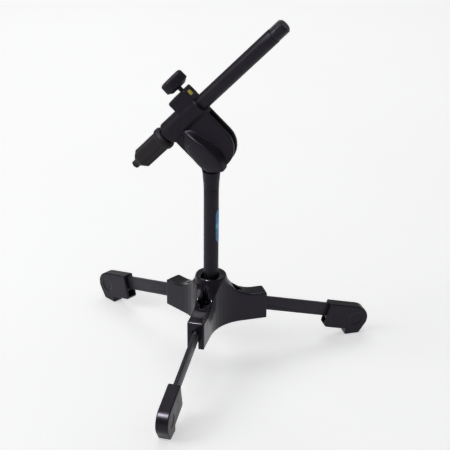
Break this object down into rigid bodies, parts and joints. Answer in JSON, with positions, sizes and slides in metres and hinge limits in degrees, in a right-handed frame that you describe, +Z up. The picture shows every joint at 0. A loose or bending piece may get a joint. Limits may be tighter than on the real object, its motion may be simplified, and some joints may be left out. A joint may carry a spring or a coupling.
{
  "type": "desktop microphone stand",
  "caption": "Low folding tripod stand for a microphone: short column, tilting clamp with knobs, sliding boom with a threaded tip and rubber feet.",
  "frame": {"origin": "centre of the bounding box on the floor plane; the column axis is at y = 0.043 m", "axes": "+Z up along the column, -Y along the front leg, boom and clamp tilt in the XZ plane with the threaded tip towards +X"},
  "size_m": [0.323, 0.28, 0.3828],
  "materials": {
    "hub_plastic": "moulded black plastic with a low sheen",
    "clamp_plastic": "moulded black plastic, finely textured",
    "tube_paint": "satin black paint on steel tube",
    "leg_paint": "satin black paint on flat steel bar",
    "foot_rubber": "moulded black rubber, matt",
    "cap_rubber": "soft dark grey rubber, matt",
    "knob_plastic": "moulded black plastic with knurled rim",
    "screw_steel": "zinc-plated steel",
    "thread_steel": "blackened steel thread, slightly shiny",
    "nut_brass": "plain machined brass",
    "washer_fibre": "pressed brown fibre",
    "label_blue": "light blue printed film"
  },
  "bodies": {
    "stand": {"hub": "hub_plastic", "column_tube": "tube_paint", "column_label": "label_blue", "column_plug": "screw_steel", "bottom_screw": "screw_steel", "bottom_washer": "screw_steel", "lower_joint": "clamp_plastic", "friction_washer_front": "washer_fibre", "friction_washer_back": "washer_fibre", "leg_pin_front": "screw_steel", "leg_pin_right": "screw_steel", "leg_pin_left": "screw_steel"},
    "folding_leg_front": {"leg_front": "leg_paint", "foot_front": "foot_rubber"},
    "folding_leg_right": {"leg_right": "leg_paint", "foot_right": "foot_rubber"},
    "folding_leg_left": {"leg_left": "leg_paint", "foot_left": "foot_rubber"},
    "clamp": {"clamp_body": "clamp_plastic", "clamp_nut": "nut_brass", "pivot_nut": "screw_steel"},
    "boom": {"boom_tube": "tube_paint", "threaded_tip": "thread_steel", "end_cap": "cap_rubber"},
    "clamp_pad": {"pressure_pad": "nut_brass"},
    "clamp_lock": {"clamp_knob": "knob_plastic", "clamp_screw": "screw_steel"},
    "tilt_thrust": {"tilt_washer": "screw_steel"},
    "tilt_lock": {"tilt_knob": "knob_plastic", "pivot_screw": "screw_steel"}
  },
  "joints": [
    {"name": "leg_front_fold", "type": "hinge", "parent": "stand", "child": "folding_leg_front", "pos_m": [0, 0.019, 0.06141], "axis": [1, 0, 0], "range_deg": [0, 68]},
    {"name": "leg_right_fold", "type": "hinge", "parent": "stand", "child": "folding_leg_right", "pos_m": [0.02079, 0.055, 0.06141], "axis": [-0.5, 0.866, 0], "range_deg": [0, 68]},
    {"name": "leg_left_fold", "type": "hinge", "parent": "stand", "child": "folding_leg_left", "pos_m": [-0.02079, 0.055, 0.06141], "axis": [-0.5, -0.866, 0], "range_deg": [0, 68]},
    {"name": "clamp_tilt", "type": "hinge", "parent": "stand", "child": "clamp", "pos_m": [0.0013, 0.043, 0.246], "axis": [0, -1, 0], "range_deg": [-90, 43.5]},
    {"name": "boom_slide", "type": "slide", "parent": "clamp", "child": "boom", "axis": [0.689, 0, 0.7248], "range_m": [-0.08, 0.0028]},
    {"name": "clamp_pad_slide", "type": "slide", "parent": "clamp", "child": "clamp_pad", "axis": [-0.7248, 0, 0.689], "range_m": [0, 0.002]},
    {"name": "clamp_knob_turn", "type": "hinge", "parent": "clamp_pad", "child": "clamp_lock", "pos_m": [-0.03855, 0.043, 0.30858], "axis": [-0.7248, 0, 0.689], "range_deg": [0, 720.5]},
    {"name": "tilt_washer_slide", "type": "slide", "parent": "clamp", "child": "tilt_thrust", "axis": [0, 1, 0], "range_m": [0, 0.001]},
    {"name": "tilt_knob_turn", "type": "hinge", "parent": "tilt_thrust", "child": "tilt_lock", "pos_m": [0.0013, 0.059, 0.246], "axis": [0, 1, 0], "range_deg": [0, 360.5]}
  ],
  "couplings": [
    {"joint": "clamp_knob_turn", "follows": "clamp_pad_slide", "rad_per_m": 6283.2},
    {"joint": "tilt_knob_turn", "follows": "tilt_washer_slide", "rad_per_m": 6283.2}
  ]
}
